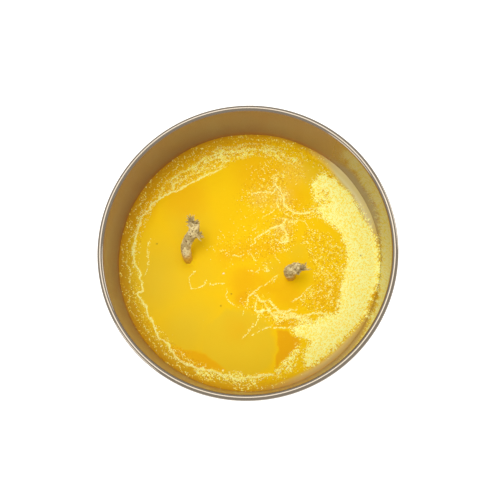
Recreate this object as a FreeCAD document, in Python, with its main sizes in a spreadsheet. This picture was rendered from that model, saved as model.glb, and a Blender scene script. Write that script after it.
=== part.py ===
import FreeCAD, Part
import os

import Sketcher
from FreeCAD import Placement, Rotation, Vector

# A two-wick container candle in a seamless drawn tin. Millimetres, +Z up.
# The origin is the centre of the foot, on the surface that the tin stands on.

SIZES = [
    # the tin
    ("rim_diameter", 100.0, "outside diameter over the rolled rim"),
    ("tin_height", 62.0, "foot to the top of the rim"),
    ("sheet_thickness", 0.3, "tinplate"),
    ("curl_diameter", 2.2, "outside diameter of the roll at the rim"),
    ("curl_tail", 125.0, "degrees that the roll goes on past its outermost point"),
    ("base_corner", 3.0, "outside radius between the wall and the foot"),
    ("foot_width", 4.0, "flat ring that the tin stands on"),
    ("panel_rise", 1.2, "height of the base panel above the foot"),
    # the wax
    ("headspace", 18.0, "top of the rim down to the wax"),
    ("meniscus_height", 1.2, "how far the wax climbs the wall"),
    ("meniscus_width", 2.6, "how far from the wall the climb begins"),
    # the wicks: heading is the way the free end leans, in degrees from +X towards +Y
    ("wick_diameter", 3.4, "braided wick with its coat of wax"),
    ("wick_stand", 0.8, "upright length above the wax before the first bend"),
    ("left_wick_x", -22.0, "place of the left wick"),
    ("left_wick_y", -0.4, "place of the left wick"),
    ("left_heading", 78.0, "way that the left wick leans"),
    ("left_bend_radius", 5.0, "first bend of the left wick"),
    ("left_bend", 46.0, "degrees from upright after the first bend"),
    ("left_shaft", 4.4, "straight run between the bends"),
    ("left_tip_radius", 6.0, "second bend of the left wick"),
    ("left_tip_bend", 28.0, "further degrees at the second bend"),
    ("left_tip", 3.4, "straight run at the tip"),
    ("right_wick_x", 16.0, "place of the right wick"),
    ("right_wick_y", -6.7, "place of the right wick"),
    ("right_heading", 82.0, "way that the right wick leans"),
    ("right_bend_radius", 9.0, "bend of the right wick"),
    ("right_bend", 18.0, "degrees from upright after the bend"),
    ("right_shaft", 2.0, "straight run between the bends"),
    ("right_tip_radius", 9.0, "second bend of the right wick"),
    ("right_tip_bend", 6.0, "further degrees at the second bend"),
    ("right_tip", 1.6, "straight run at the tip"),
    # what holds the wicks to the base
    ("tab_diameter", 20.0, "disc of the wick tab"),
    ("tab_thickness", 0.3, "steel of the wick tab"),
    ("collar_height", 6.0, "crimped collar above the disc"),
    ("sticker_diameter", 18.0, "adhesive foam dot"),
    ("sticker_thickness", 1.0, "adhesive foam dot"),
    # the label under the base
    ("label_margin", 8.0, "bare metal between the label and the edge of the base panel"),
    ("label_thickness", 0.15, "round paper label"),
]

# Values that follow from the sheet, as expressions.
WALL_INSIDE = "(sizes.rim_diameter / 2 - sizes.curl_diameter)"
WALL_OUTSIDE = f"({WALL_INSIDE} + sizes.sheet_thickness)"
FOOT_OUTSIDE = f"({WALL_OUTSIDE} - sizes.base_corner)"
FOOT_INSIDE = f"({FOOT_OUTSIDE} - sizes.foot_width)"
# The step from the panel to the foot is two arcs of 60 degrees, so on the middle of the sheet
# each one's radius is the rise itself, and the step is sqrt(3) times the rise across.
PANEL_EDGE = f"({FOOT_INSIDE} - sqrt(3) * sizes.panel_rise)"
STEP_WIDE = "(sizes.panel_rise + sizes.sheet_thickness / 2)"
STEP_TIGHT = "(sizes.panel_rise - sizes.sheet_thickness / 2)"
STEP_MIDDLE = f"({FOOT_INSIDE} - sqrt(3) / 2 * sizes.panel_rise)"
STEP_HEIGHT = "((sizes.panel_rise + sizes.sheet_thickness) / 2)"
ACROSS = "(sqrt(3) / 4 * sizes.sheet_thickness)"
ALONG = "(sizes.sheet_thickness / 4)"
PANEL_TOP = "(sizes.panel_rise + sizes.sheet_thickness)"
CURL_RADIUS = "(sizes.curl_diameter / 2)"
CURL_HOLLOW = f"({CURL_RADIUS} - sizes.sheet_thickness)"
CURL_X = f"({WALL_INSIDE} + {CURL_RADIUS})"
CURL_Z = f"(sizes.tin_height - {CURL_RADIUS})"
WAX_TOP = "(sizes.tin_height - sizes.headspace)"
WICK_RADIUS = "(sizes.wick_diameter / 2)"
TAB_BOTTOM = f"({PANEL_TOP} + sizes.sticker_thickness)"
TAB_TOP = f"({TAB_BOTTOM} + sizes.tab_thickness)"
COLLAR_RADIUS = f"({WICK_RADIUS} + sizes.tab_thickness)"
COLLAR_TOP = f"({TAB_TOP} + sizes.collar_height)"

LEFT, RIGHT = "left", "right"
CLOCKWISE, COUNTER = "clockwise", "counter"

doc = FreeCAD.newDocument("candle_tin")
sheet = doc.addObject("Spreadsheet::Sheet", "sizes")
for row, (alias, value, note) in enumerate(SIZES, start=1):
    sheet.set(f"A{row}", alias)
    sheet.set(f"B{row}", str(value))
    sheet.set(f"C{row}", note)
    sheet.setAlias(f"B{row}", alias)
doc.recompute()


def value(expression):
    return float(sheet.evalExpression(expression))


# ---------------------------------------------------------------- sketches

def plane(body, role):
    """One of a body's own origin planes."""
    return next(f for f in body.Origin.OriginFeatures if f.Role == role)


def new_sketch(body, name, role):
    sketch = body.newObject("Sketcher::SketchObject", name)
    sketch.AttachmentSupport = [(plane(body, role), "")]
    sketch.MapMode = "FlatFace"
    return sketch


def bind(sketch, constraint, expression):
    """Adds a dimension and ties it to the sheet."""
    index = sketch.addConstraint(constraint)
    sketch.setExpression(f"Constraints[{index}]", expression)


def pin_point(sketch, edge, end, x, y):
    """Holds one end of an edge at (x, y) from the sketch's origin."""
    for kind, place in (("DistanceX", x), ("DistanceY", y)):
        bind(sketch, Sketcher.Constraint(kind, -1, 1, edge, end, value(place)), place)


def arc_between(start, end, radius, turn):
    """The arc of under half a turn from start to end."""
    chord = end - start
    middle = (start + end) / 2
    reach = max(radius ** 2 - chord.Length ** 2 / 4, 0.0) ** 0.5
    side = Vector(-chord.y, chord.x, 0).normalize()
    if turn == CLOCKWISE:
        side = -side
    centre = middle + side * reach
    first, last = (end, start) if turn == CLOCKWISE else (start, end)
    angles = [Vector(1, 0, 0).getAngle(p - centre) * (1 if p.y >= centre.y else -1) for p in (first, last)]
    circle = Part.Circle(centre, Vector(0, 0, 1), radius)
    return Part.ArcOfCircle(circle, angles[0], angles[1])


def draw(sketch, steps, closed):
    """Draws edges through points. A step is (x, y), reached by a line, or (x, y, radius, turn), by an arc."""
    points = [Vector(value(step[0]), value(step[1]), 0) for step in steps]
    pairs = list(zip(range(len(steps) - 1), range(1, len(steps))))
    if closed:
        pairs.append((len(steps) - 1, 0))
    for start, end in pairs:
        step = steps[end]
        backwards = len(step) == 4 and step[3] == CLOCKWISE
        if len(step) == 4:
            edge = sketch.addGeometry(arc_between(points[start], points[end], value(step[2]), step[3]))
            bind(sketch, Sketcher.Constraint("Radius", edge, value(step[2])), step[2])
        else:
            edge = sketch.addGeometry(Part.LineSegment(points[start], points[end]))
        pin_point(sketch, edge, 2 if backwards else 1, steps[start][0], steps[start][1])
        pin_point(sketch, edge, 1 if backwards else 2, step[0], step[1])
    if sketch.solve() != 0:
        raise RuntimeError(f"{sketch.Name} has no solution")


def turn_about_z(body, sketch, kind, name):
    """A full Revolution or Groove of a sketch about its own upright axis."""
    feature = body.newObject(kind, name)
    feature.Profile = sketch
    feature.ReferenceAxis = (sketch, ["V_Axis"])
    feature.Angle = 360.0
    doc.recompute()
    return feature


# ---------------------------------------------------------------- shared outlines

def inside_of_base():
    """The upper face of the sheet from the axis out to the foot of the wall: the wax lies on it."""
    return [
        ("0", PANEL_TOP),
        (PANEL_EDGE, PANEL_TOP),
        (f"{STEP_MIDDLE} + {ACROSS}", f"{STEP_HEIGHT} + {ALONG}", STEP_WIDE, CLOCKWISE),
        (FOOT_INSIDE, "sizes.sheet_thickness", STEP_TIGHT, COUNTER),
        (FOOT_OUTSIDE, "sizes.sheet_thickness"),
        (WALL_INSIDE, "sizes.base_corner", "sizes.base_corner - sizes.sheet_thickness", COUNTER),
    ]


def curl_point(radius, degrees):
    """A point of the roll, in degrees from its outermost point, up being positive."""
    return f"{CURL_X} + {radius} * cos({degrees})", f"{CURL_Z} + {radius} * sin({degrees})"


# ---------------------------------------------------------------- the tin

def make_tin_body():
    body = doc.addObject("PartDesign::Body", "tin_body")
    section = new_sketch(body, "tin_section", "XZ_Plane")
    tail = "-sizes.curl_tail"
    steps = inside_of_base()
    steps += [
        (WALL_INSIDE, CURL_Z),
        (*curl_point(CURL_RADIUS, "90"), CURL_RADIUS, CLOCKWISE),
        (*curl_point(CURL_RADIUS, "0"), CURL_RADIUS, CLOCKWISE),
        (*curl_point(CURL_RADIUS, tail), CURL_RADIUS, CLOCKWISE),
        curl_point(CURL_HOLLOW, tail),
        (*curl_point(CURL_HOLLOW, "0"), CURL_HOLLOW, COUNTER),
        (*curl_point(CURL_HOLLOW, "90"), CURL_HOLLOW, COUNTER),
        (WALL_OUTSIDE, CURL_Z, CURL_HOLLOW, COUNTER),
        (WALL_OUTSIDE, "sizes.base_corner"),
        (FOOT_OUTSIDE, "0", "sizes.base_corner", CLOCKWISE),
        (FOOT_INSIDE, "0"),
        (f"{STEP_MIDDLE} - {ACROSS}", f"{STEP_HEIGHT} - {ALONG}", STEP_WIDE, CLOCKWISE),
        (PANEL_EDGE, "sizes.panel_rise", STEP_TIGHT, COUNTER),
        ("0", "sizes.panel_rise"),
    ]
    draw(section, steps, closed=True)
    turn_about_z(body, section, "PartDesign::Revolution", "tin_shell")
    return body


# ---------------------------------------------------------------- the wax

def wick_recess(body, side):
    """The room in the wax for one wick, its tab and its sticker."""
    section = new_sketch(body, f"recess_section_{side}", "XZ_Plane")
    section.setExpression("AttachmentOffset.Base.x", f"sizes.{side}_wick_x")
    section.setExpression("AttachmentOffset.Base.z", f"-sizes.{side}_wick_y")
    tab_radius = "sizes.tab_diameter / 2"
    sticker_radius = "sizes.sticker_diameter / 2"
    above_wax = f"{WAX_TOP} + sizes.wick_diameter"
    steps = [
        ("0", PANEL_TOP),
        (sticker_radius, PANEL_TOP),
        (sticker_radius, TAB_BOTTOM),
        (tab_radius, TAB_BOTTOM),
        (tab_radius, TAB_TOP),
        (COLLAR_RADIUS, TAB_TOP),
        (COLLAR_RADIUS, COLLAR_TOP),
        (WICK_RADIUS, COLLAR_TOP),
        (WICK_RADIUS, above_wax),
        ("0", above_wax),
    ]
    draw(section, steps, closed=True)
    whole = body.Shape.Volume
    turn_about_z(body, section, "PartDesign::Groove", f"recess_{side}")
    if body.Shape.Volume >= whole:
        raise RuntimeError(f"the {side} recess cuts nothing")


def make_wax_fill():
    body = doc.addObject("PartDesign::Body", "wax_fill")
    section = new_sketch(body, "wax_section", "XZ_Plane")
    climb = "(sizes.meniscus_width ^ 2 + sizes.meniscus_height ^ 2) / (2 * sizes.meniscus_height)"
    steps = inside_of_base()
    steps += [
        (WALL_INSIDE, f"{WAX_TOP} + sizes.meniscus_height"),
        (f"{WALL_INSIDE} - sizes.meniscus_width", WAX_TOP, climb, CLOCKWISE),
        ("0", WAX_TOP),
    ]
    draw(section, steps, closed=True)
    turn_about_z(body, section, "PartDesign::Revolution", "wax_block")
    wick_recess(body, LEFT)
    wick_recess(body, RIGHT)
    return body


# ---------------------------------------------------------------- wicks, tabs and stickers

def stand_at_wick(thing, side):
    """Moves a piece drawn about the origin to its wick's place."""
    thing.setExpression("Placement.Base.x", f"sizes.{side}_wick_x")
    thing.setExpression("Placement.Base.y", f"sizes.{side}_wick_y")


def lean(x, z, radius, before, after):
    """Where a bend from one tilt to a greater one ends. Tilts are degrees from upright, towards +x."""
    return (
        f"{x} + {radius} * (cos({before}) - cos({after}))",
        f"{z} + {radius} * (sin({after}) - sin({before}))",
    )


def run(x, z, length, tilt):
    return f"{x} + {length} * sin({tilt})", f"{z} + {length} * cos({tilt})"


def make_wick(side):
    body = doc.addObject("PartDesign::Body", f"wick_{side}")
    bend, tip_bend = f"sizes.{side}_bend", f"sizes.{side}_tip_bend"
    bend_radius, tip_radius = f"sizes.{side}_bend_radius", f"sizes.{side}_tip_radius"
    full_tilt = f"({bend} + {tip_bend})"
    surface = f"{WAX_TOP} + sizes.wick_stand"
    bent = lean("0", surface, bend_radius, "0", bend)
    shaft_end = run(*bent, f"sizes.{side}_shaft", bend)
    tip_start = lean(*shaft_end, tip_radius, bend, full_tilt)
    steps = [
        ("0", TAB_TOP),
        ("0", surface),
        (*bent, bend_radius, CLOCKWISE),
        shaft_end,
        (*tip_start, tip_radius, CLOCKWISE),
        run(*tip_start, f"sizes.{side}_tip", full_tilt),
    ]
    path = new_sketch(body, f"wick_path_{side}", "XZ_Plane")
    draw(path, steps, closed=False)
    section = new_sketch(body, f"wick_section_{side}", "XY_Plane")
    section.setExpression("AttachmentOffset.Base.z", TAB_TOP)
    ring = section.addGeometry(Part.Circle(Vector(0, 0, 0), Vector(0, 0, 1), value(WICK_RADIUS)))
    section.addConstraint(Sketcher.Constraint("Coincident", ring, 3, -1, 1))
    bind(section, Sketcher.Constraint("Radius", ring, value(WICK_RADIUS)), WICK_RADIUS)
    doc.recompute()
    pipe = body.newObject("PartDesign::AdditivePipe", f"wick_pipe_{side}")
    pipe.Profile = section
    pipe.Spine = (path, [f"Edge{n}" for n in range(1, len(steps))])
    body.Placement = Placement(Vector(0, 0, 0), Rotation(Vector(0, 0, 1), value(f"sizes.{side}_heading")))
    body.setExpression("Placement.Rotation.Angle", f"sizes.{side}_heading")
    stand_at_wick(body, side)
    return body


def make_sustainer(side):
    body = doc.addObject("PartDesign::Body", f"sustainer_{side}")
    section = new_sketch(body, f"tab_section_{side}", "XZ_Plane")
    steps = [
        ("0", TAB_BOTTOM),
        ("sizes.tab_diameter / 2", TAB_BOTTOM),
        ("sizes.tab_diameter / 2", TAB_TOP),
        (COLLAR_RADIUS, TAB_TOP),
        (COLLAR_RADIUS, COLLAR_TOP),
        (WICK_RADIUS, COLLAR_TOP),
        (WICK_RADIUS, TAB_TOP),
        ("0", TAB_TOP),
    ]
    draw(section, steps, closed=True)
    turn_about_z(body, section, "PartDesign::Revolution", f"tab_{side}")
    stand_at_wick(body, side)
    return body


def make_disc(name, diameter, thickness, bottom):
    disc = doc.addObject("Part::Cylinder", name)
    disc.setExpression("Radius", f"({diameter}) / 2")
    disc.setExpression("Height", thickness)
    disc.setExpression("Placement.Base.z", bottom)
    return disc


def make_sticker(side):
    sticker = make_disc(f"sticker_{side}", "sizes.sticker_diameter", "sizes.sticker_thickness", PANEL_TOP)
    stand_at_wick(sticker, side)
    return sticker


def make_base_label():
    bottom = "sizes.panel_rise - sizes.label_thickness"
    diameter = f"2 * ({PANEL_EDGE} - sizes.label_margin)"
    return make_disc("base_label", diameter, "sizes.label_thickness", bottom)


# ---------------------------------------------------------------- build, test, write

pieces = [make_tin_body(), make_wax_fill(), make_base_label()]
for side in (LEFT, RIGHT):
    pieces += [make_wick(side), make_sustainer(side), make_sticker(side)]
for piece in pieces:
    piece.Label = piece.Name
doc.recompute()

for thing in doc.Objects:
    if "Invalid" in thing.State or "Error" in thing.State:
        raise RuntimeError(f"{thing.Name}: {thing.State}")
for piece in pieces:
    if piece.Shape.isNull() or not piece.Shape.isValid() or len(piece.Shape.Solids) != 1:
        raise RuntimeError(f"{piece.Label} isn't one valid solid")

os.makedirs("parts", exist_ok=True)
for piece in pieces:
    piece.Shape.exportStep(f"parts/{piece.Label}.step")
    print(f"{piece.Label}: {piece.Shape.Volume:.1f} mm3")
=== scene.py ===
import math

import bpy
import numpy as np
from mathutils import Matrix, Vector


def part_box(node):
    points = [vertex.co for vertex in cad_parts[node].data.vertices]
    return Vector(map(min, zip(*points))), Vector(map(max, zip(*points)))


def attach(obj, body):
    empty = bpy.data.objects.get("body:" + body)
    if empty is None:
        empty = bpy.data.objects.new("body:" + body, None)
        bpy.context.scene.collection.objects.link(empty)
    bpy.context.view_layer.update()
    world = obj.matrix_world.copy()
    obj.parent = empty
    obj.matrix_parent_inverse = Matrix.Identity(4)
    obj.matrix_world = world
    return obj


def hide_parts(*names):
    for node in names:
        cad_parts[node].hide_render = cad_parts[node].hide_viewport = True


bl_info = {
    "name": "Candle tin",
    "version": (1, 0, 0),
    "blender": (4, 5, 0),
    "location": "3D View > Sidebar > Candle tin",
    "description": "A two-wick container candle in a drawn steel tin, built round its design model",
    "category": "Object",
}

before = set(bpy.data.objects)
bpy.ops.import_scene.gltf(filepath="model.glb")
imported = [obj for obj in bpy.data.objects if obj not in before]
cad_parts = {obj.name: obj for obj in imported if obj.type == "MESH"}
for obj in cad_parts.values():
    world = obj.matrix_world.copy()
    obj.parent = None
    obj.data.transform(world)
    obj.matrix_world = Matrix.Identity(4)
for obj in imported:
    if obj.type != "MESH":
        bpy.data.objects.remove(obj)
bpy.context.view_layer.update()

MM = 0.001
BODY = "root"
TIN_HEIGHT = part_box("tin_body")[1][2]
WAX_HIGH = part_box("wax_fill")[1]
WALL_INSIDE = WAX_HIGH[0]
WAX_TOP = WAX_HIGH[2]


def wick_place(side):
    """The centre of a wick, which is the centre of its tab."""
    low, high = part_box(f"sustainer_{side}")
    return (low[0] + high[0]) / 2, (low[1] + high[1]) / 2


def srgb(red, green, blue):
    """A display colour of 0 to 255 as the linear colour that shaders take."""
    def linear(step):
        share = step / 255
        return share / 12.92 if share <= 0.04045 else ((share + 0.055) / 1.055) ** 2.4
    return linear(red), linear(green), linear(blue), 1.0


# ------------------------------------------------------------------ settings

def length(name, description, default):
    return bpy.props.FloatProperty(
        name=name, description=description, default=default, min=0.0, subtype="DISTANCE", unit="LENGTH",
        precision=5)


def tint(name, description, red, green, blue):
    return bpy.props.FloatVectorProperty(
        name=name, description=description, default=srgb(red, green, blue), size=4, min=0.0, max=1.0,
        subtype="COLOR")


class TinSettings(bpy.types.PropertyGroup):
    """The drawn steel tin."""
    sheet: length("Sheet", "Thickness of the tinplate", 0.3 * MM)
    curl: length("Rolled rim", "Outside diameter of the roll at the rim", 2.2 * MM)
    corner: length("Base corner", "Outside radius between the wall and the foot", 3.0 * MM)
    foot: length("Foot", "Width of the flat ring that the tin stands on", 4.0 * MM)
    rise: length("Panel rise", "Height of the base panel above the foot", 1.2 * MM)
    steel: tint("Steel", "Colour of the tinplate", 130, 121, 108)
    dim_steel: tint("Dim steel", "Colour of the tinplate in its duller patches", 122, 112, 98)
    scratch: tint("Scratch", "Colour of the steel in a fine scratch", 206, 200, 190)
    film: tint("Wax film", "Colour of the steel under a dry film of wax", 166, 146, 130)
    thick_film: tint("Thick film", "Colour of the film where it has grains", 138, 116, 86)
    film_foot: tint("Film foot", "Colour of the film where it meets the wax", 186, 122, 30)
    segments: bpy.props.IntProperty(
        name="Segments", description="Faces round the tin", default=256, min=32, max=512)


class WaxSettings(bpy.types.PropertyGroup):
    """The poured wax and the mica on it."""
    meniscus_height: length("Meniscus height", "How far the wax climbs the wall", 1.2 * MM)
    meniscus_width: length("Meniscus width", "How far from the wall the climb begins", 2.6 * MM)
    wick_climb: length("Wick climb", "How far the wax climbs each wick", 0.9 * MM)
    ridge_height: length("Ridge height", "Height of the drying lines", 0.12 * MM)
    cells: bpy.props.IntProperty(
        name="Cells", description="Cells across the wax, an even number", default=280, min=40, max=290)
    yellow: tint("Yellow", "Clear bright wax", 243, 200, 2)
    pale: tint("Pale", "Milky wax", 227, 192, 38)
    orange: tint("Orange", "Deep, oily wax", 232, 170, 6)
    # Painted shade: Edge is the colour that the wax is given where the wall shades it.
    edge: tint("Edge", "Wax that darkens against the wall", 178, 122, 22)
    # Clear is glassy wax, painted pale for the light that its meniscus reflects.
    clear: tint("Clear", "Glassy wax at the wall", 210, 199, 138)
    rose: tint("Rose mica", "Thin haze of rose gold mica", 236, 194, 84)
    # Painted light: Gold mica is mica in shade, and Bright mica is the same mica where it catches the light.
    gold: tint("Gold mica", "Mica grains that lie in shade", 254, 232, 78)
    bright: tint("Bright mica", "Mica grains that catch the light", 255, 254, 166)
    gap: tint("Gap", "Deep wax between grains of mica", 206, 142, 14)
    brown_fleck: tint("Brown fleck", "Crumbs of soot in the wax", 120, 74, 20)
    white_fleck: tint("White fleck", "A loose flake of mica", 255, 255, 255)


class WickSettings(bpy.types.PropertyGroup):
    """The braided wicks."""
    thickness: length("Thickness", "Diameter of the braid in the wax", 3.4 * MM)
    swell: length("Swell", "How far the braid opens out above the wax", 0.22 * MM)
    strand: length("Strand", "Diameter of one strand", 0.9 * MM)
    lead: length("Lead", "Length of braid in which a strand goes once round", 9.0 * MM)
    cotton: tint("Cotton", "Dry cotton", 230, 214, 160)
    # Painted light: Shade is painted shade for the gaps between the strands, and Light fibre and Dark fibre
    # are a painted highlight and painted shade on the fibres.
    shade: tint("Shade", "Cotton between the strands", 112, 72, 28)
    dull_cotton: tint("Dull cotton", "Cotton in its duller patches", 176, 156, 104)
    lit_fibre: tint("Light fibre", "Fibres that catch the light", 255, 246, 208)
    shaded_fibre: tint("Dark fibre", "Fibres that lie in shade", 168, 134, 84)
    soaked: tint("Soaked", "Cotton soaked with wax", 212, 160, 40)


class HolderSettings(bpy.types.PropertyGroup):
    """The small parts under the wax and under the base."""
    tab: tint("Tab", "Steel of the wick tabs", 190, 190, 188)
    tab_spots: tint("Tab spots", "Duller spots on the tabs", 150, 148, 142)
    foam: tint("Foam", "Adhesive foam", 238, 238, 232)
    foam_shade: tint("Foam shade", "Duller parts of the foam", 214, 212, 200)
    paper: tint("Paper", "Blank base label", 236, 230, 216)
    paper_fibres: tint("Paper fibres", "Darker fibres in the label", 212, 203, 184)


class StageSettings(bpy.types.PropertyGroup):
    """Floor, lights and camera."""
    floor: tint("Floor", "Colour of the floor round the object", 250, 250, 250)
    far_floor: tint("Far floor", "Colour of the floor where it meets the room", 199, 196, 188)
    floor_glow: bpy.props.FloatProperty(
        name="Floor glow", description="Light that the floor gives off", default=0.55, min=0.0)
    room: tint("Room", "Colour of the room round the object", 203, 198, 191)
    room_glow: bpy.props.FloatProperty(
        name="Room glow", description="Strength of the light from the room", default=1.52, min=0.0)
    key_power: bpy.props.FloatProperty(
        name="Key", description="Power of the main soft light", default=2.0, min=0.0, unit="POWER")
    side_power: bpy.props.FloatProperty(
        name="Sides", description="Power of each soft light at the side", default=1.6, min=0.0, unit="POWER")


# ------------------------------------------------------------------ shader maths

class Field:
    """A number worked out by nodes. Arithmetic on it adds Math nodes."""

    def __init__(self, finish, socket):
        self.finish = finish
        self.socket = socket

    def math(self, operation, *others, clamp=False):
        values = dict(enumerate([self, *others]))
        node = self.finish.add("ShaderNodeMath", {"operation": operation, "use_clamp": clamp}, values)
        return Field(self.finish, node.outputs[0])

    def __add__(self, other):
        return self.math("ADD", other)

    def __radd__(self, other):
        return self.math("ADD", other)

    def __sub__(self, other):
        return self.math("SUBTRACT", other)

    def __rsub__(self, other):
        return self.finish.add_math("SUBTRACT", other, self)

    def __mul__(self, other):
        return self.math("MULTIPLY", other)

    def __rmul__(self, other):
        return self.math("MULTIPLY", other)

    def clamped(self):
        return self.math("ADD", 0.0, clamp=True)

    def over(self, low, high):
        """0 below low, 1 above high, smooth between. High may be the lower of the two."""
        settings = {"interpolation_type": "SMOOTHSTEP", "clamp": True}
        inputs = {"Value": self, "From Min": low, "From Max": high}
        node = self.finish.add("ShaderNodeMapRange", settings, inputs)
        return Field(self.finish, node.outputs[0])


class Finish:
    """One material: a Principled shader and the nodes that feed it."""

    def __init__(self, name, **constants):
        self.material = bpy.data.materials.new(name)
        self.material.use_nodes = True
        self.tree = self.material.node_tree
        self.shader = self.tree.nodes["Principled BSDF"]
        for socket, value in constants.items():
            self.shader.inputs[socket.replace("_", " ")].default_value = value
        self.place = self.add("ShaderNodeTexCoord", {}, {}).outputs["Object"]

    def add(self, kind, settings, inputs):
        """Any node: its settings first, then the values or links of its sockets."""
        node = self.tree.nodes.new(kind)
        for name, value in settings.items():
            setattr(node, name, value)
        for socket, value in inputs.items():
            if isinstance(value, Field):
                value = value.socket
            if isinstance(value, bpy.types.NodeSocket):
                self.tree.links.new(value, node.inputs[socket])
            else:
                node.inputs[socket].default_value = value
        return node

    def add_math(self, operation, *values):
        node = self.add("ShaderNodeMath", {"operation": operation}, dict(enumerate(values)))
        return Field(self, node.outputs[0])

    def feed(self, **links):
        for socket, value in links.items():
            source = value.socket if isinstance(value, Field) else value
            self.tree.links.new(source, self.shader.inputs[socket.replace("_", " ")])

    def mark(self, attribute):
        """The four channels of a painted attribute."""
        source = self.add("ShaderNodeAttribute", {"attribute_name": attribute}, {})
        split = self.add("ShaderNodeSeparateColor", {}, {"Color": source.outputs["Color"]})
        channels = [Field(self, split.outputs[n]) for n in ("Red", "Green", "Blue")]
        return channels + [Field(self, source.outputs["Alpha"])]

    def axes(self):
        split = self.add("ShaderNodeSeparateXYZ", {}, {"Vector": self.place})
        return [Field(self, split.outputs[n]) for n in "XYZ"]

    def noise(self, size, detail=2.0, roughness=0.5, place=None):
        """Smooth noise of about 0 to 1, with features of a size in metres."""
        inputs = {"Vector": place or self.place, "Scale": 1 / size, "Detail": detail, "Roughness": roughness}
        return Field(self, self.add("ShaderNodeTexNoise", {}, inputs).outputs[0])

    def grains(self, size):
        """Cells of a size in metres: the distance to each cell's middle, and three numbers for each cell."""
        inputs = {"Vector": self.place, "Scale": 1 / size}
        node = self.add("ShaderNodeTexVoronoi", {"voronoi_dimensions": "2D"}, inputs)
        split = self.add("ShaderNodeSeparateColor", {}, {"Color": node.outputs["Color"]})
        return [Field(self, socket) for socket in (node.outputs["Distance"], *split.outputs)]

    def mix(self, share, low, high):
        """A colour between two colours. The colours are sockets 6 and 7 of the node, and the result is 2."""
        return self.add("ShaderNodeMix", {"data_type": "RGBA"}, {0: share, 6: low, 7: high}).outputs[2]

    def stretched(self, x, y, z):
        """The place with each axis scaled."""
        node = self.add("ShaderNodeMapping", {}, {"Vector": self.place, "Scale": (x, y, z)})
        return node.outputs[0]

    def bump(self, height, distance):
        """A normal from a height of 0 to 1 that stands for a distance in metres."""
        inputs = {"Height": height, "Distance": distance, "Strength": 1.0}
        return self.add("ShaderNodeBump", {}, inputs).outputs[0]


# ------------------------------------------------------------------ modelling helpers

def settings(name):
    return getattr(bpy.context.scene, f"candle_{name}")


def deselect():
    if bpy.context.object and bpy.context.object.mode != "OBJECT":
        bpy.ops.object.mode_set(mode="OBJECT")
    bpy.ops.object.select_all(action="DESELECT")


def active(name):
    piece = bpy.context.object
    piece.name = name
    piece.data.name = name
    return piece


def arc(centre, radius, first, last, steps):
    """Points of an arc in the plane of radius and height, angles in degrees."""
    angles = [math.radians(first + (last - first) * n / steps) for n in range(steps + 1)]
    return [(centre[0] + radius * math.cos(a), centre[1] + radius * math.sin(a)) for a in angles]


def extrude_rings(rings):
    """In edit mode, extrudes the selected ring through (radius, height) pairs, from the first pair."""
    radius, height = rings[0]
    for next_radius, next_height in rings[1:]:
        bpy.ops.mesh.extrude_region_move(TRANSFORM_OT_translate={"value": (0, 0, next_height - height)})
        share = next_radius / radius
        bpy.ops.transform.resize(value=(share, share, 1), center_override=(0, 0, 0))
        radius, height = next_radius, next_height


def finish_piece(piece, slot, finish, *nodes, angle=40.0):
    """Smooth shading, its material, and its place in the frame."""
    deselect()
    piece.select_set(True)
    bpy.context.view_layer.objects.active = piece
    bpy.ops.object.shade_smooth_by_angle(angle=math.radians(angle))
    piece.data.materials.clear()
    piece.data.materials.append(finish.material)
    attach(piece, BODY)
    if nodes:
        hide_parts(*nodes)


def dress_node(node, finish):
    """A better material for a node of the design model whose shape stays."""
    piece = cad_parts[node]
    piece.data.materials.clear()
    piece.data.materials.append(finish.material)


def base_rings(tin, offset):
    """The base of the tin from the edge of its panel to the foot of its wall, offset above its under face."""
    foot_outside = WALL_INSIDE + tin.sheet - tin.corner
    foot_inside = foot_outside - tin.foot
    panel_edge = foot_inside - math.sqrt(3) * tin.rise
    middle = tin.sheet / 2
    lift = offset - middle
    rings = arc((panel_edge, middle), tin.rise + lift, 90, 30, 6)
    rings += arc((foot_inside, middle + tin.rise), tin.rise - lift, 210, 270, 6)
    rings += arc((foot_outside, tin.corner), tin.corner - offset, 270, 360, 10)
    return rings


# ------------------------------------------------------------------ the tin

def tinplate():
    tin = settings("tin")
    finish = Finish("tinplate", Coat_IOR=1.5, Coat_Roughness=0.03)
    x, y, z = finish.axes()
    # Drawing the wall leaves fine upright streaks; the base keeps the even grain of the sheet.
    streaks = finish.noise(0.5 * MM, 3.0, 0.6, finish.stretched(1, 1, 0.03))
    blotches = finish.noise(9 * MM, 3.0)
    grain = finish.noise(0.35 * MM, 2.0, 0.7)
    scratches = finish.noise(0.5 * MM, 1.0, 0.4, finish.stretched(1, 0.05, 1)).over(0.72, 0.76)
    across = finish.add_math("SQRT", x * x + y * y)
    film = across.over(WALL_INSIDE + 0.25 * MM, WALL_INSIDE + 0.1 * MM) * z.over(tin.corner, 2 * tin.corner)
    # The film is dull, but so thin beside the widest mica that the steel still mirrors it.
    dull = film * x.over(40 * MM, 26 * MM)
    steel = finish.mix(blotches.over(0.3, 0.7) * 0.2, tin.steel, tin.dim_steel)
    steel = finish.mix(film, steel, finish.mix(grain * 0.7, tin.film, tin.thick_film))
    # Just above the wax the film is thick enough to take its colour.
    steel = finish.mix(dull * z.over(WAX_TOP + 3 * MM, WAX_TOP - MM) * 0.7, steel, tin.film_foot)
    finish.feed(
        Base_Color=finish.mix(scratches * 0.12, steel, tin.scratch),
        Metallic=1 - film * 0.2 - dull * (0.15 + grain * 0.2),
        Roughness=0.04 + streaks * 0.06 + blotches * 0.02 + film * 0.04 + dull * 0.2 + scratches * 0.05,
        Coat_Weight=1 - dull * 0.7,
        Normal=finish.bump(streaks + grain * 0.5, 0.002 * MM))
    return finish


# Rings that divide the base panel, bands that divide the wall, and the angle where the rolled rim ends.
PANEL_RINGS = (12 * MM, 30 * MM)
WALL_STEPS = 12
ROLL_END = -125


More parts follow.
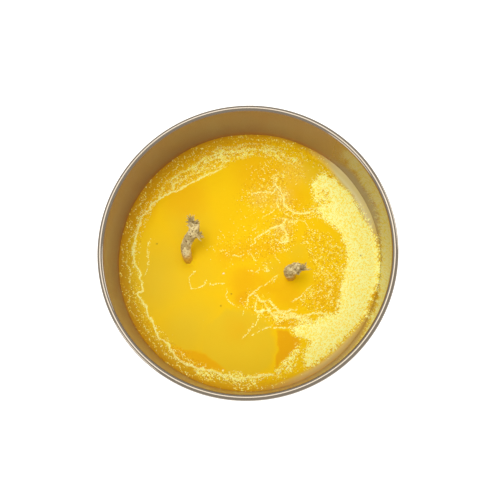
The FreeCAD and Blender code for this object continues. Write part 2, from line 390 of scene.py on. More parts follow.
class MakeTin(bpy.types.Operator):
    """Draw the steel tin: base, wall and rolled rim"""
    bl_idname = "candle.make_tin"
    bl_label = "Tin"

    def execute(self, context):
        tin = settings("tin")
        middle = tin.sheet / 2
        roll = tin.curl / 2 - middle
        roll_centre = (WALL_INSIDE + tin.curl / 2, TIN_HEIGHT - tin.curl / 2)
        rings = [(radius, tin.rise + middle) for radius in PANEL_RINGS]
        rings += base_rings(tin, middle)
        wall_top = roll_centre[1]
        wall_foot = tin.corner
        wall_step = (wall_top - wall_foot) / WALL_STEPS
        rings += [(WALL_INSIDE + middle, wall_foot + wall_step * n) for n in range(1, WALL_STEPS)]
        rings += arc(roll_centre, roll, 180, ROLL_END, 40)

        deselect()
        bpy.ops.mesh.primitive_circle_add(
            vertices=tin.segments, radius=rings[0][0], location=(0, 0, 0), fill_type="TRIFAN")
        piece = active("tin_shell")
        bpy.ops.object.mode_set(mode="EDIT")
        bpy.ops.mesh.select_all(action="SELECT")
        bpy.ops.transform.translate(value=(0, 0, rings[0][1]))
        bpy.ops.mesh.select_mode(type="EDGE")
        bpy.ops.mesh.select_all(action="DESELECT")
        bpy.ops.mesh.select_non_manifold()
        extrude_rings(rings)
        bpy.ops.mesh.select_all(action="SELECT")
        bpy.ops.mesh.remove_doubles(threshold=0.001 * MM)
        bpy.ops.mesh.normals_make_consistent(inside=False)
        bpy.ops.object.mode_set(mode="OBJECT")
        thicken = piece.modifiers.new("sheet", "SOLIDIFY")
        thicken.thickness = tin.sheet
        thicken.offset = 0.0
        thicken.use_even_offset = True
        bpy.ops.object.modifier_apply(modifier=thicken.name)
        finish_piece(piece, "tinplate", tinplate(), "tin_body")
        return {"FINISHED"}


# ------------------------------------------------------------------ the wax

# Values along each side of a noise lattice, which repeats beyond them.
LATTICE = 128


class Painter:
    """Works out marks at points of the wax, in millimetres from the tin's axis."""

    def __init__(self, x, y):
        self.x = x
        self.y = y
        # Marks in poured wax wander, so they are read at places that two sizes of noise push aside.
        self.wander_x = x + 1.2 * (self.lattice(4.0, 1) - 0.5) + 0.9 * (self.lattice(1.3, 2) - 0.5)
        self.wander_y = y + 1.2 * (self.lattice(4.0, 3) - 0.5) + 0.9 * (self.lattice(1.3, 4) - 0.5)

    def lattice(self, size, seed):
        """Smooth noise of 0 to 1 between random values on a lattice."""
        table = np.random.default_rng(seed).random((LATTICE, LATTICE))
        u = self.x / size + LATTICE / 2
        v = self.y / size + LATTICE / 2
        column = np.floor(u).astype(int)
        row = np.floor(v).astype(int)
        s = u - column
        t = v - row
        s = s * s * (3 - 2 * s)
        t = t * t * (3 - 2 * t)

        def corner(right, up):
            return table[(column + right) % LATTICE, (row + up) % LATTICE]

        low = corner(0, 0) * (1 - s) + corner(1, 0) * s
        high = corner(0, 1) * (1 - s) + corner(1, 1) * s
        return low * (1 - t) + high * t

    def distance(self, points):
        """How far each place is from a line through points."""
        best = np.full(self.x.shape, 1e9)
        for (ax, ay), (bx, by) in zip(points, points[1:]):
            dx, dy = bx - ax, by - ay
            along = ((self.wander_x - ax) * dx + (self.wander_y - ay) * dy) / (dx * dx + dy * dy)
            along = np.clip(along, 0, 1)
            away = np.hypot(self.wander_x - ax - along * dx, self.wander_y - ay - along * dy)
            best = np.minimum(best, away)
        return best

    def line(self, points, reach):
        """1 on a line through points, falling evenly to 0 at its reach."""
        return np.clip(1 - self.distance(points) / reach, 0, 1)

    def patch(self, outline, soft):
        """1 inside an outline, 0 outside, with an edge of a given softness."""
        closed = outline + outline[:1]
        within = np.zeros(self.x.shape, bool)
        for (ax, ay), (bx, by) in zip(closed, closed[1:]):
            crosses = (ay > self.wander_y) != (by > self.wander_y)
            run = (self.wander_y - ay) * (bx - ax) / (by - ay if by != ay else 1e-9) + ax
            within ^= crosses & (self.wander_x < run)
        depth = self.distance(closed) * np.where(within, 1, -1)
        share = np.clip(depth / soft + 0.5, 0, 1)
        return share * share * (3 - 2 * share)

    def spot(self, x, y, radius, hard=0.0):
        """1 at a centre, falling to 0 at a radius. Hard is the share of the radius that stays at 1."""
        away = np.hypot(self.wander_x - x, self.wander_y - y) / radius
        share = np.clip((1 - away) / (1 - hard), 0, 1)
        return share * share * (3 - 2 * share)

    def fleck(self, x, y, radius, core):
        """1 over a crumb in the wax, which doesn't wander, falling to 0 just outside its radius."""
        return np.clip(core - np.hypot(self.x - x, self.y - y) / radius, 0, 1)


def strongest(mark, table):
    """The strongest of many marks of one kind. Each entry has its strength first."""
    return np.max([strength * mark(*entry) for strength, *entry in table], axis=0)


# The swirls as they set, in millimetres from the tin's axis.
RIDGE = [
    (-10, 35.5), (-16, 32.5), (-19, 30.5), (-24, 28.5), (-28, 26.5), (-33, 24.5), (-36, 22), (-39, 18.5),
    (-40.5, 14.5), (-41.5, 10), (-42.3, 5), (-42, 0), (-40.5, -4.5), (-39, -8), (-38.8, -11), (-41.2, -12.5),
    (-39, -15.5), (-36.5, -20), (-34.5, -24), (-32.5, -28.5), (-29, -30.5), (-28, -33), (-25, -36.5),
    (-21, -38.8), (-15, -40), (-9, -42), (-3, -43.3), (3, -43), (8, -41.5)]
UPPER_SWIRL = [(0.5, 25), (4, 25.3), (9, 26), (10.5, 27)]
UPPER_HOOK = [(10, 29), (12, 26.5), (13, 23), (13.5, 21), (15, 18.8), (18, 17.4), (21, 17.2), (24, 18.3)]
MIDDLE_KNOT = [(14, 15), (12, 13.5), (12.5, 11.5), (14.3, 9.5), (14, 7), (12, 6.2), (10, 7.5)]
MIDDLE_TAIL = [(14.5, 15.5), (11.5, 13.2), (8.5, 11.4), (5, 10), (3, 8), (1.8, 6), (0.5, 5.3)]
FINE_LINES = [
    [(15, 14.8), (19, 14.6), (21.5, 13), (22.5, 11)],
    [(-6, 1.6), (-3.5, 1.9), (-1.5, 2.6)],
    [(-0.5, 3.5), (1, 2), (3, 0.2)],
    [(9, 4.5), (10, 1.5), (12, -1)],
    [(0, -4.3), (3, -5), (7, -3.8), (6, -2)],
    [(10.5, -5.5), (8, -8), (5, -10), (2.5, -12), (0.5, -14), (-0.5, -17), (-2, -20)],
    [(9.5, -7.5), (8.5, -9.5)],
    [(15, -15.5), (19, -14), (21, -11.5), (23, -9.5)],
    [(-20.3, -4), (-21.5, -6), (-21.6, -9), (-20.8, -10.8), (-18.5, -11), (-16, -9.6), (-15, -8)],
    [(-14, -9), (-11, -8.7), (-9, -8.3)],
    [(-8.5, -11), (-8, -14), (-5.5, -16.3), (-3.5, -17.2)],
    [(3.5, -13), (2.8, -16), (3, -19.5)],
    [(-37, 8), (-37.6, 5), (-36.8, 0), (-37.8, -3), (-38.6, -5.5)],
    [(-2, -29), (0.5, -26.5), (2.5, -23), (4, -19.5)],
    [(2, -28), (5, -25.5), (7.5, -24.8)],
    [(5, 16), (8, 17), (10, 19)],
    [(12, 18), (10.5, 21), (11, 25), (9.5, 28), (11, 31)],
]
LOWER_LINES = [
    [(2.5, -13), (4.5, -15.5), (7, -15.2), (9, -17), (11, -18.6), (13.5, -19), (18, -18.6)],
    [(2.5, -18.8), (6, -18.4), (8, -18.5), (10, -21), (11.6, -22.2), (14, -21.4), (20, -22.2), (26, -22.6)],
    [(9.5, -19.3), (14, -19.8), (20, -20.4), (25, -20.2), (28, -19.6)],
    [(10.5, -20.6), (16, -21), (22, -21.4)],
    [(9, -25), (13, -25.2), (16, -24.6)],
]
# The thick mica along the right wall, whose grains are painted mostly in the lit colour of mica.
CRESCENT = [
    (24, 30), (27.5, 32.5), (32, 30.5), (36.5, 26.5), (40.5, 21), (44, 15), (46.4, 9), (47.8, 3), (47.8, -5),
    (45.4, -13), (41.6, -20.5), (37, -27), (32, -32), (27.5, -35.5), (24, -37.5), (21, -39.5),
    (19.5, -36), (21, -32), (22.5, -30.5), (19.5, -28.6), (17, -27.8), (16, -25.4), (20, -23), (25, -22.5),
    (28.5, -20.5), (31.8, -19.5),
    (33, -15), (33.6, -10), (34.6, -5), (36.2, 0), (36, 5), (34, 9), (31, 12), (28, 15), (25.2, 18.3),
    (24.6, 22), (24, 26)]
LOWER_PATCH = [
    (10.5, -43), (9.5, -40.5), (12.5, -38.5), (14.5, -35), (17, -31.5), (19, -31), (18, -35), (16.5, -39)]
TOP_BAND = [
    (-34, 25), (-30, 30.5), (-24, 35.5), (-17, 39.5), (-9, 43), (0, 44.5), (8, 43.5), (15, 40.5), (20, 37.5),
    (18, 35.5), (10, 38.5), (3, 40.3), (-5, 39), (-10, 36), (-16, 33), (-24, 29), (-30, 26)]
RIGHT_FIELD = [
    (21, 12), (26, 11), (31, 8), (35, 3), (34.5, -4), (33, -10), (32.5, -18), (26, -20), (17, -17), (20, -13),
    (24.5, -9), (24, -2), (20, 5)]
TOP_FIELD = [
    (2, 36), (10, 40), (20, 36), (21, 31), (13, 30), (11, 22), (5, 20), (-4, 23.5), (0, 29)]
MIDDLE_FIELD = [
    (-14, 4), (-9, 10), (-2, 9), (4, 13), (9, 17), (17, 14), (15, 5), (6, -2), (-2, -1), (-8, 0)]
LOWER_FIELD = [
    (0, -11), (7, -13), (10, -19), (16, -22), (10, -25), (2, -27), (-4, -25), (-4, -19), (-2, -13)]
DEEP_WEDGE = [
    (10.6, -26.5), (13.5, -26), (17.5, -28.5), (19, -31), (15, -34.5), (11, -38.5), (9.5, -40), (10.5, -33)]
DEEP_FOOT = [
    (-28.5, -31), (-24, -33), (-17, -34), (-12, -36.5), (-8, -41), (-14, -40.5), (-21, -39.5), (-26, -36)]
# Soft spots: strength, place, radius, and the share of the radius that keeps the full strength.
MILKY_LOBE = (-4, -31.5, 15)
MILKY_SPOTS = [
    (0.95, -36, -8, 27), (0.9, -22, -26, 22), (0.75, *MILKY_LOBE, 0.8), (0.55, -22, 12, 14),
    (0.4, -17, -6, 14), (0.5, 9, -3, 6), (0.5, 18, 3, 6), (0.5, 24, 33, 7, 0.2)]
DEEP_SPOTS = [
    (0.6, -1, -8.5, 9, 0.2), (0.75, -2, -14, 5, 0.2), (0.3, -3, -25.5, 8), (0.45, -24, 24, 13, 0.2),
    (0.35, 17, 23, 8, 0.2), (0.45, 14, -13, 9, 0.2), (0.4, 4, 33, 14, 0.2), (0.4, 29, -13, 9, 0.3)]
ROSE_SPOTS = [(0.8, 12, 24, 7, 0.1), (0.8, 12.5, 12, 5, 0.1), (0.6, 4, 23, 6), (0.5, 17, 33, 9)]
# Lines with their strength and reach, and patches with their strength and the softness of their edge.
DEEP_LINES = [
    (0.5, [(2, -6), (8, -12), (14, -10)], 5.0),
    (0.5, [(-8, 2), (0, 4), (10, 5)], 5.0),
    (0.6, [(-42, 14), (-36, 26), (-26, 36), (-12, 43), (4, 45)], 6.0),
    (0.7, [(10, -23.6), (20, -23.8)], 2.0)]
DEEP_PATCHES = [(0.95, DEEP_WEDGE, 1.0), (0.75, DEEP_FOOT, 1.6)]
LOWER_DRIFT = [(-17, -40.7), (-9, -42.6), (2, -44)]
SPECK_FIELDS = [
    (0.15, MIDDLE_FIELD, 8.0), (0.42, RIGHT_FIELD, 2.0), (0.2, TOP_FIELD, 8.0), (0.2, LOWER_FIELD, 3.0),
    (0.5, TOP_BAND, 3.0)]
SPECK_LINES = [(0.5, LOWER_LINES[1], 3.0), (0.6, MIDDLE_KNOT, 4.0), (0.45, UPPER_HOOK, 4.5)]
# Drying lines. The stronger a line, the wider it shows.
LINE_REACH = 1.8
DRYING_LINES = [
    (strength, swirl, LINE_REACH)
    for strength, swirls in (
        (1.0, [RIDGE]), (0.96, [UPPER_HOOK, *LOWER_LINES]), (0.94, [MIDDLE_KNOT]),
        (0.91, [UPPER_SWIRL, MIDDLE_TAIL]), (0.87, FINE_LINES))
    for swirl in swirls]
BROWN_FLECKS = [(0.8, x, y, 0.28, 1.4) for x, y in ((-6.2, -12.6), (-10, -17), (41, 1.2), (-34, 6.4))]
WHITE_FLECK = (-9.1, -5, 0.24, 1.5)
# Directions round the wall.
UPPER_LEFT, LOWER_LEFT = math.radians(140), math.radians(205)
UPPER_RIGHT, LOWER_RIGHT, RIGHT = math.radians(32), math.radians(-52), math.radians(-5)


def wax_marks(x, y):
    """The colour of the wax, with painted shade and a painted reflection by the wall, and its mica, at places
    in millimetres: three sets of four channels.
    """
    painter = Painter(x, y)
    across = np.hypot(x, y)
    inner = WALL_INSIDE / MM
    turn = np.arctan2(y, x)

    milky = strongest(painter.spot, MILKY_SPOTS)
    milky *= 1 - painter.patch(DEEP_FOOT, 1.5)
    deep = strongest(painter.spot, DEEP_SPOTS)
    deep = np.maximum(deep, strongest(painter.line, DEEP_LINES))
    deep = np.maximum(deep, strongest(painter.patch, DEEP_PATCHES))
    rose = strongest(painter.spot, ROSE_SPOTS)

    # Painted shade: the wax beside the wall is darkened in colour for the wall's shadow, most on the lower
    # left, with a thin darker line where it meets the wall.
    upper_left = 0.5 + 0.5 * np.cos(turn - UPPER_LEFT)
    lower_left = 0.5 + 0.5 * np.cos(turn - LOWER_LEFT)
    reach = 1.6 + 4.4 * lower_left
    wall_shade = (0.6 + 0.3 * lower_left) * np.clip(1 - (inner - across) / reach, 0, 1) ** 1.2
    wall_shade = np.maximum(wall_shade, 0.7 * np.clip(1.1 - (inner - across) / 1.5, 0, 1))
    # Glassy wax lies along the right of the wall, widest at the upper right, and thins the mica on it. Its
    # pale colour is a painted reflection of light on the meniscus.
    upper_right = np.clip(1.6 - np.abs(turn - UPPER_RIGHT) / math.radians(20), 0, 1)
    lower_right = np.clip(1.5 - np.abs(turn - LOWER_RIGHT) / math.radians(24), 0, 1)
    width = 0.9 + 3.0 * upper_right + 1.9 * lower_right + 1.0 * (painter.lattice(6, 11) - 0.5)
    clear = np.clip(0.2 + upper_right + lower_right, 0, 1) * np.clip((across - (inner - width)) / 2.0, 0, 1)
    clear *= np.clip(1.2 + 2.0 * np.cos(turn - RIGHT), 0, 1)
    wall_shade *= 1 - 0.75 * upper_right

    ring = np.clip((across - (inner - 6)) / 3, 0, 1) * np.clip(0.25 + upper_left, 0, 1)
    outside_ridge = np.clip(1 - painter.distance(RIDGE) / 6, 0, 1) * (across > 40.5)
    crescent = painter.patch(CRESCENT, 4.0)
    thin_top = 1 - 0.4 * painter.spot(28, 23, 6, 0.2)
    cover = crescent * thin_top
    cover = np.maximum(cover, 0.62 * painter.patch(LOWER_PATCH, 3.0))
    cover = np.maximum(cover, 0.5 * painter.patch(TOP_BAND, 4.0) * painter.lattice(3, 21))
    cover = np.maximum(cover, 0.62 * painter.spot(-10.5, 41, 4.5))
    cover = np.maximum(cover, 0.6 * painter.line(LOWER_DRIFT, 2.6))
    cover *= 1 - 0.7 * clear

    specks = 0.012 + 0.07 * painter.spot(8, 16, 20, 0.3) + 0.34 * ring + 0.3 * outside_ridge
    specks += sum(strength * painter.patch(*field) for strength, *field in SPECK_FIELDS)
    specks += sum(strength * painter.line(*line) for strength, *line in SPECK_LINES)
    specks *= 1 - 0.85 * painter.spot(*MILKY_LOBE, 0.9)
    specks *= 1 - 0.8 * painter.spot(-28, -10, 17, 0.6)
    specks *= (1 - clear) * (1 - 0.8 * wall_shade)

    drying = strongest(painter.line, DRYING_LINES)
    brown = strongest(painter.fleck, BROWN_FLECKS)
    white = painter.fleck(*WHITE_FLECK)
    none = np.zeros(x.shape)
    return {
        "wax_colours_and_painted_light": [milky, deep, wall_shade, clear],
        "wax_mica": [cover, np.clip(specks, 0, 1), drying, rose],
        "wax_flecks": [brown, white, none, none],
    }


def paint(piece, name, channels):
    marks = piece.data.color_attributes.new(name, "FLOAT_COLOR", "POINT")
    marks.data.foreach_set("color", np.stack(channels, axis=1).astype(np.float32).ravel())


def wax_heights(x, y, marks):
    """The relief of the wax at places in millimetres, above its level."""
    wax = settings("wax")
    painter = Painter(x, y)
    across = np.hypot(x, y)
    turn_noise = Painter(60 * np.cos(np.arctan2(y, x)), 60 * np.sin(np.arctan2(y, x)))
    width = wax.meniscus_width / MM
    rise = wax.meniscus_height / MM * (0.8 + 0.4 * turn_noise.lattice(14, 41))
    bend = (width * width + rise * rise) / (2 * rise)
    in_climb = np.clip(across - (WALL_INSIDE / MM - width), 0, width)
    height = bend - np.sqrt(bend * bend - in_climb * in_climb)
    height += 0.22 * (painter.lattice(17, 42) - 0.5) + 0.08 * (painter.lattice(6, 43) - 0.5)
    for side in ("left", "right"):
        wick_x, wick_y = wick_place(side)
        gap = np.hypot(x - wick_x / MM, y - wick_y / MM) - 1.5
        height += wax.wick_climb / MM * np.exp(-np.maximum(gap, 0) / 0.9)
        height -= 0.12 * np.exp(-((gap - 4) / 2.5) ** 2)
    cover, specks, drying = marks["wax_mica"][:3]
    height += wax.ridge_height / MM * np.clip(3 * drying - 2, 0, 1)
    height += cover * (0.03 + 0.05 * painter.lattice(0.8, 44)) + specks * 0.03 * painter.lattice(0.7, 45)
    height += 0.25 * marks["wax_flecks"][1]
    return height


def set_wax():
    """Poured wax with mica in it, with painted shade and a painted reflection at the wall and painted glints
    on the mica.
    """
    wax = settings("wax")
    finish = Finish(
        "poured_wax", IOR=1.44, Specular_IOR_Level=0.05, Coat_Roughness=0.12, Coat_IOR=1.44,
        Subsurface_Weight=0.1, Subsurface_Radius=(1.0, 0.6, 0.1), Subsurface_Scale=2.5 * MM)
    milky, deep, wall_shade, clear = finish.mark("wax_colours_and_painted_light")
    cover, specks, drying, rose = finish.mark("wax_mica")
    brown, white = finish.mark("wax_flecks")[:2]

    slow = finish.noise(7 * MM, 3.0)
    mottle = finish.noise(1.3 * MM, 3.0, 0.65)
    flakes = finish.noise(0.5 * MM, 2.0, 0.7)
    grain, grain_chance, grain_tone, grain_turn = finish.grains(0.34 * MM)
    lump_chance = finish.grains(0.8 * MM)[1]
    # Streaks follow the level lines of slow noise. Near the wall they run round it.
    flow = finish.noise(9 * MM, 3.0, 0.6)
    x, y, z = finish.axes()
    across = finish.add_math("SQRT", x * x + y * y)
    streaks = (flow * 14.0).math("PINGPONG", 1.0).over(0.45, 0.95)
    rounds = (across * (0.8 / MM) + slow * 7.0).math("PINGPONG", 1.0).over(0.4, 0.9)
    streaks = streaks + (rounds - streaks) * across.over(36 * MM, 39 * MM)

    body = finish.mix(milky, wax.yellow, wax.pale)
    body = finish.mix(deep + (slow - 0.5) * 0.25, body, wax.orange)
    body = finish.mix(((mottle - 0.5) * 0.35 + (flakes - 0.5) * 0.25) * (1 - milky), body, wax.orange)
    body = finish.mix(rose * (mottle.over(0.3, 0.7) * 0.6 + 0.4), body, wax.rose)
    # Painted reflection: the glassy wax at the wall is painted pale where its meniscus reflects light.
    body = finish.mix(clear * 0.95, body, wax.clear)
    # Painted shade of the wall on the wax beside it.
    body = finish.mix(wall_shade, body, wax.edge)

    # Mica lies as grains. Where they overlap they hide the wax. Each grain is painted between the shaded and
    # the lit colour of mica, more lit where the mica is thick: a painted highlight.
    chance = (grain_chance - 0.5) * 0.95 + (lump_chance - 0.5) * 0.35 + (mottle - 0.5) * 0.9
    packed = (cover + chance * (1.4 - cover)).over(0.4, 0.56) * cover.over(0.03, 0.25)
    tone = grain_tone * 1.6 + mottle * 0.6 + cover * 0.35 - 0.75
    lit_and_shaded_mica = finish.mix(tone.over(0.0, 1.0), wax.gold, wax.bright)
    body = finish.mix(packed, body, lit_and_shaded_mica)

    density = specks * (0.3 + streaks * 1.3) + rose * 0.12 + (drying - 0.55).clamped() * 0.6
    gaps = (specks * 0.8 + cover * 0.5 - grain_turn).over(0.0, 0.08) * (1 - packed)
    body = finish.mix(gaps * 0.45, body, wax.gap)
    # Painted glints: scattered grains, and the threads of mica along the drying lines, are painted in the lit
    # colour of mica.
    lit = (density * (0.5 + mottle) - grain_chance).over(0.0, 0.05)
    glint_dots = grain.over(0.66, 0.4) * lit
    broken = (grain_chance - 0.5) * 0.2 + (flakes - 0.5) * 0.2 + (mottle - 0.5) * 0.2
    threads = (drying + broken).over(0.79, 0.85)
    threads = threads * (0.75 + 0.25 * grain_tone)
    painted_glint = glint_dots.math("MAXIMUM", threads) * (1 - packed)
    painted_glint_colour = finish.mix(threads.math("MAXIMUM", grain_tone.over(0.2, 0.9)), wax.gold, wax.bright)
    body = finish.mix(painted_glint * (0.7 + 0.3 * grain_tone), body, painted_glint_colour)
    body = finish.mix(brown, body, wax.brown_fleck)
    body = finish.mix(white, body, wax.white_fleck)

    shine = packed.math("MAXIMUM", painted_glint)
    finish.feed(
        Base_Color=body,
        Roughness=0.38 + slow * 0.08 + shine * 0.1 - clear * 0.15,
        Coat_Weight=clear * 0.4,
        Normal=finish.bump(mottle * 0.25 + flakes * shine, 0.04 * MM))
    return finish


class MakeWax(bpy.types.Operator):
    """Pour the wax, with its meniscus, drying lines and mica"""
    bl_idname = "candle.make_wax"
    bl_label = "Wax"

    def execute(self, context):
        wax = settings("wax")
        tin = settings("tin")
        level = WAX_TOP - wax.meniscus_height
        hair = 0.02 * MM
        radius = WALL_INSIDE - hair

        deselect()
        bpy.ops.mesh.primitive_grid_add(x_subdivisions=wax.cells, y_subdivisions=wax.cells, size=2)
        piece = active("wax_pour")
        count = len(piece.data.vertices)
        places = np.empty(count * 3)
        piece.data.vertices.foreach_get("co", places)
        places = places.reshape(count, 3)
        # Each square ring of the grid becomes a circle, so the cells stay even from the middle to the wall.
        a, b = places[:, 0].copy(), places[:, 1].copy()
        wide = np.abs(a) >= np.abs(b)
        far = np.where(wide, a, b)
        safe = np.where(np.abs(far) < 1e-9, 1.0, far)
        turn = np.where(wide, math.pi / 4 * b / safe, math.pi / 2 - math.pi / 4 * a / safe)
        places[:, 0] = far * np.cos(turn) * radius
        places[:, 1] = far * np.sin(turn) * radius
        x, y = places[:, 0] / MM, places[:, 1] / MM
        places[:, 2] = level + wax_heights(x, y, wax_marks(x, y)) * MM
        piece.data.vertices.foreach_set("co", places.ravel())
        piece.data.update()

        bpy.ops.object.mode_set(mode="EDIT")
        bpy.ops.mesh.select_mode(type="EDGE")
        bpy.ops.mesh.select_all(action="DESELECT")
        bpy.ops.mesh.select_non_manifold()
        bpy.ops.mesh.extrude_region_move(TRANSFORM_OT_translate={"value": (0, 0, -2 * MM)})
        bpy.ops.object.mode_set(mode="OBJECT")
        rings = list(reversed(base_rings(tin, tin.sheet + hair)))
        collar = [v for v in piece.data.vertices if v.select]
        for vertex in collar:
            vertex.co.z = rings[0][1]
        bpy.ops.object.mode_set(mode="EDIT")
        extrude_rings([(radius, rings[0][1])] + rings[1:])
        bpy.ops.mesh.edge_face_add()
        bpy.ops.mesh.select_all(action="SELECT")
        bpy.ops.mesh.normals_make_consistent(inside=False)
        bpy.ops.object.mode_set(mode="OBJECT")

        count = len(piece.data.vertices)
        places = np.empty(count * 3)
        piece.data.vertices.foreach_get("co", places)
        places = places.reshape(count, 3) / MM
        for name, channels in wax_marks(places[:, 0], places[:, 1]).items():
            paint(piece, name, channels)
        finish_piece(piece, "wax", set_wax(), "wax_fill", angle=60.0)
        return {"FINISHED"}


# ------------------------------------------------------------------ the wicks

# Where each wick goes from the surface of the wax, in millimetres from its place on the base.
LEFT_ROUTE = [
    (0, 0, 0.6), (-0.3, 1.8, 2.4), (-0.6, 4.2, 4.6), (0.9, 6.8, 6.3), (2.9, 8.9, 7.4), (3.2, 10.6, 8.1),
    (2.9, 11.8, 8.6)]
RIGHT_ROUTE = [
    (-0.4, 0.2, 0.4), (-0.9, 0.5, 2.4), (-1.5, 1.0, 4.6), (-1.3, 1.5, 6.4), (0.2, 1.8, 7.2), (2.0, 1.9, 7.2)]
# Loose ends: where they start, the way they point, their length, their spread and how many.
LEFT_TUFTS = [
    ((3.4, 7.9, 7.6), (1.0, -0.1, 0.1), 3.4, 0.3, 34),
    ((2.7, 12.2, 8.8), (-0.7, 0.9, 0.3), 3.2, 0.5, 26),
    ((3.6, 11.6, 8.8), (0.6, 0.8, 0.3), 2.0, 0.6, 18),
    ((2.2, 11.2, 8.4), (-1.0, 0.3, 0.5), 2.2, 0.6, 16)]
RIGHT_TUFTS = [
    ((2.1, 1.0, 7.4), (1.0, 0.85, 0.05), 4.2, 0.22, 34),
    ((0.6, 2.2, 7.4), (-0.2, 0.8, 0.7), 1.7, 0.7, 18),
    ((-1.0, 1.2, 7.2), (-0.9, 0.3, 0.4), 2.0, 0.7, 22),
    ((1.4, 1.2, 7.8), (0.2, -0.7, 0.5), 1.6, 0.7, 14)]


def soft_tube(points, radii, sides):
    """A round tube along points, as a mesh. Its radius may change along it."""
    deselect()
    bpy.ops.curve.primitive_nurbs_path_add(radius=1.0, location=(0, 0, 0))
    tube = bpy.context.object
    tube.data.splines.clear()
    spline = tube.data.splines.new("NURBS")
    spline.points.add(len(points) - 1)
    for knot, place, radius in zip(spline.points, points, radii):
        knot.co = (*place, 1.0)
        knot.radius = radius
    spline.order_u = 3
    spline.use_endpoint_u = True
    spline.resolution_u = 2
    tube.data.bevel_depth = 1.0
    tube.data.bevel_resolution = sides
    tube.data.use_fill_caps = True
    bpy.ops.object.convert(target="MESH")
    return bpy.context.object


def joined(parts, name):
    deselect()
    for part in parts:
        part.select_set(True)
    bpy.context.view_layer.objects.active = parts[0]
    bpy.ops.object.join()
    return active(name)


def braid(start, end):
    """A straight upright braid of twelve strands round a core. It opens out and loosens towards its end."""
    wick = settings("wick")
    weave = 0.18 * MM
    reach = wick.thickness / 2 - wick.strand / 2 - weave
    step = 0.6 * MM
    count = int((end - start) / step) + 1
    heights = [start + (end - start) * n / (count - 1) for n in range(count)]
    opened = [min(1.0, max(0.0, (z - end + 16 * MM) / (4 * MM))) for z in heights]
    random = np.random.default_rng(7)
    parts = [soft_tube([(0, 0, z) for z in heights], [reach + wick.swell * share for share in opened], 2)]
    for way in (1, -1):
        for strand in range(6):
            drift = random.normal(0, 0.1, (2, 3))
            points = []
            radii = []
            for z, share in zip(heights, opened):
                turn = 2 * math.pi * z / wick.lead
                angle = way * turn + strand * math.pi / 3
                loose = max(0.0, (z - end + 4 * MM) / (4 * MM)) ** 1.5
                out = reach + wick.swell * share + way * weave * math.cos(6 * turn) + 0.55 * MM * loose
                points.append((
                    out * math.cos(angle) + drift[0][0] * MM * loose * 4,
                    out * math.sin(angle) + drift[0][1] * MM * loose * 4,
                    z + drift[1][0] * MM * loose * 6))
                radii.append(wick.strand / 2 * (1 + 0.25 * share) * (1 - 0.35 * loose))
            parts.append(soft_tube(points, radii, 1))
    return joined(parts, "braid")


def tuft(start, way, reach, spread, count, seed):
    """Loose fibres from one place."""
    random = np.random.default_rng(seed)
    along = np.array(way) / np.linalg.norm(way)
    parts = []
    for _ in range(count):
        place = np.array(start) + random.normal(0, 0.32, 3)
        heading = along + random.normal(0, spread, 3)
        heading /= np.linalg.norm(heading)
        fibre_length = reach * random.uniform(0.55, 1.05)
        points = [place.copy()]
        for _ in range(5):
            heading = heading + random.normal(0, 0.28, 3)
            heading /= np.linalg.norm(heading)
            place = place + heading * fibre_length / 5
            points.append(place.copy())
        thick = random.uniform(0.1, 0.24)
        radii = [thick * share * MM for share in (1.0, 1.05, 1.0, 0.85, 0.65, 0.35)]
        parts.append(soft_tube([tuple(p * MM) for p in points], radii, 0))
    return parts


def waxed_cotton():
    wick = settings("wick")
    finish = Finish("waxed_cotton", Specular_IOR_Level=0.25, Subsurface_Weight=0.0)
    x, y, z = finish.axes()
    level = WAX_TOP - settings("wax").meniscus_height
    fibre = finish.noise(0.18 * MM, 3.0, 0.7)
    lumps = finish.noise(0.8 * MM, 3.0, 0.6)
    patches = finish.noise(2.6 * MM, 2.0)
    soak = (z + (patches - 0.5) * 2.5 * MM).over(level + 5.4 * MM, level + 2.0 * MM)
    cotton = finish.mix(patches.over(0.4, 0.6), wick.dull_cotton, wick.cotton)
    # Painted highlight and painted shade on the fibres, and painted shade in patches for the gaps between the
    # strands.
    cotton = finish.mix(fibre.over(0.54, 0.7) * 0.9, cotton, wick.lit_fibre)
    cotton = finish.mix(fibre.over(0.44, 0.34) * 0.7, cotton, wick.shaded_fibre)
    cotton = finish.mix(lumps.over(0.44, 0.35) * 0.85, cotton, wick.shade)
    cotton = finish.mix(soak, cotton, wick.soaked)
    finish.feed(
        Base_Color=cotton,
        Roughness=0.85 - soak * 0.45,
        Normal=finish.bump(fibre * 0.6 + lumps * 0.4, 0.12 * MM))
    return finish


